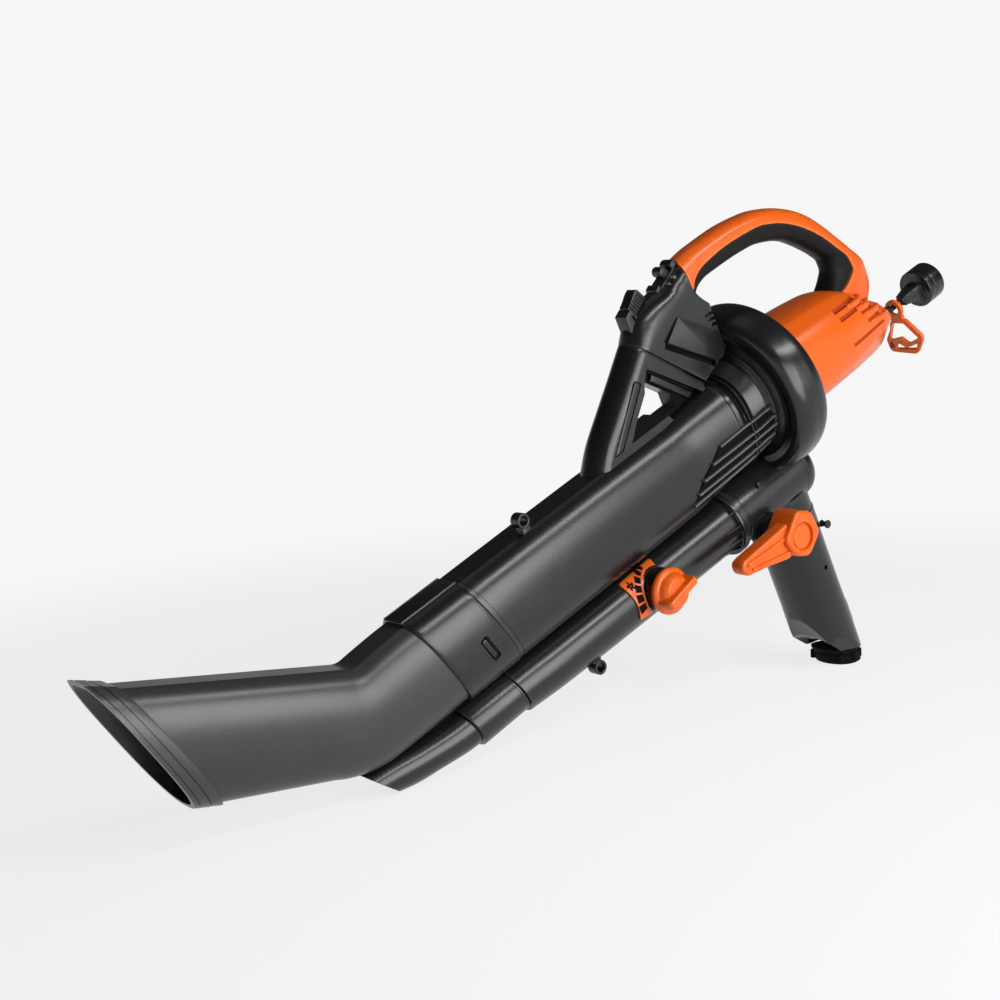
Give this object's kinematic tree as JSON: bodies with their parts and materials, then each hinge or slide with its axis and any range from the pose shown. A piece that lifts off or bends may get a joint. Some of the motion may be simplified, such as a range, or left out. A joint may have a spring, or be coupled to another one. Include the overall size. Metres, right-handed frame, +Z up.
{
  "type": "leaf blower vacuum",
  "caption": "Hand-held electric leaf blower vacuum: slanted suction nozzle and tube, fan drum, loop handle, blow tube beneath, mode lever, airflow dial and bag port.",
  "frame": {"origin": "Middle of the length and width on the ground that the blow nozzle's tip and the bag port's neck stand on.", "axes": "-X points where the suction nozzle opens, -Y is the side with the mode lever and the airflow dial, +Z is up."},
  "size_m": [1.159, 0.202, 0.5395],
  "materials": {
    "black_plastic": "fine texture, semi-matt",
    "orange_plastic": "satin",
    "grip_rubber": "soft, fine texture",
    "steel": "turned",
    "copper": "copper windings and segments, brass stands in for their density",
    "carbon": "pressed carbon, plastic stands in for it",
    "brass": "stamped"
  },
  "bodies": {
    "housing": {"suction_nozzle": "black_plastic", "nozzle_collar": "black_plastic", "suction_tube": "black_plastic", "intake_shroud": "black_plastic", "louvre_near": "black_plastic", "louvre_far": "black_plastic", "blow_nozzle": "black_plastic", "blow_collar": "black_plastic", "blow_tube": "black_plastic", "volute_front": "black_plastic", "volute_rear": "black_plastic", "diverter_housing": "black_plastic", "diverter_ring": "black_plastic", "bag_port": "black_plastic", "bag_port_neck": "black_plastic", "bag_latch_pin": "steel", "front_strut": "black_plastic", "upper_housing": "black_plastic", "latch_catch": "black_plastic", "handle_shell": "orange_plastic", "handle_grip": "grip_rubber", "switch_plate": "black_plastic", "switch_body": "black_plastic", "motor_cover": "orange_plastic", "motor_bulkhead": "black_plastic", "motor_bracket": "black_plastic", "front_bearing": "steel", "rear_bearing": "steel", "stator": "steel", "brush_near": "carbon", "brush_far": "carbon", "strain_relief": "black_plastic", "pigtail_cord": "black_plastic", "plug": "black_plastic", "plug_blade_near": "brass", "plug_blade_far": "brass", "dial_base": "black_plastic", "dial_scale_plate": "orange_plastic", "strap_eye_top": "black_plastic", "strap_eye_lower": "black_plastic", "strap_stud": "black_plastic", "screw_diverter": "steel"},
    "rotor": {"fan_shaft": "steel", "impeller": "black_plastic", "armature": "copper", "commutator": "copper", "cooling_fan": "black_plastic"},
    "mode_control": {"mode_lever": "orange_plastic", "lever_shaft": "steel", "diverter_flap": "black_plastic"},
    "air_control": {"airflow_dial": "orange_plastic", "damper_shaft": "steel", "damper_disc": "black_plastic"},
    "switch_slide": {"power_switch": "black_plastic"},
    "latch_slide": {"housing_latch": "black_plastic"},
    "snap_near": {"snap_button_near": "black_plastic"},
    "snap_far": {"snap_button_far": "black_plastic"},
    "hook": {"cord_hook": "orange_plastic"},
    "bag_catch": {"bag_latch": "black_plastic"}
  },
  "joints": [
    {"name": "motor_spin", "type": "hinge", "parent": "housing", "child": "rotor", "pos_m": [0.31042, 0, 0.36933], "axis": [0.9191, 0, 0.3939], "continuous": true},
    {"name": "mode_turn", "type": "hinge", "parent": "housing", "child": "mode_control", "pos_m": [0.23768, 0, 0.18366], "axis": [0, -1, 0], "range_deg": [0, 80]},
    {"name": "airflow_turn", "type": "hinge", "parent": "housing", "child": "air_control", "pos_m": [0.07251, 0, 0.1451], "axis": [0, -1, 0], "range_deg": [0, 90]},
    {"name": "switch_slide", "type": "slide", "parent": "housing", "child": "switch_slide", "axis": [0.6909, 0, 0.723], "range_m": [-0.009, 0]},
    {"name": "latch_slide", "type": "slide", "parent": "housing", "child": "latch_slide", "axis": [0.6129, 0, 0.7902], "range_m": [0, 0.004], "stiffness_N_per_m": 600, "springref_m": -0.002},
    {"name": "snap_press_near", "type": "slide", "parent": "housing", "child": "snap_near", "axis": [0, 1, 0], "range_m": [0, 0.0035], "stiffness_N_per_m": 900, "springref_m": -0.001},
    {"name": "snap_press_far", "type": "slide", "parent": "housing", "child": "snap_far", "axis": [0, -1, 0], "range_m": [0, 0.0035], "stiffness_N_per_m": 900, "springref_m": -0.001},
    {"name": "hook_swing", "type": "hinge", "parent": "housing", "child": "hook", "pos_m": [0.50322, 0, 0.41323], "axis": [0.9191, 0, 0.3939], "continuous": true},
    {"name": "bag_latch_turn", "type": "hinge", "parent": "housing", "child": "bag_catch", "pos_m": [0.38671, 0, 0.06695], "axis": [0, -1, 0], "range_deg": [0, 25], "stiffness_Nm_per_rad": 0.12, "springref_deg": -5.73}
  ]
}
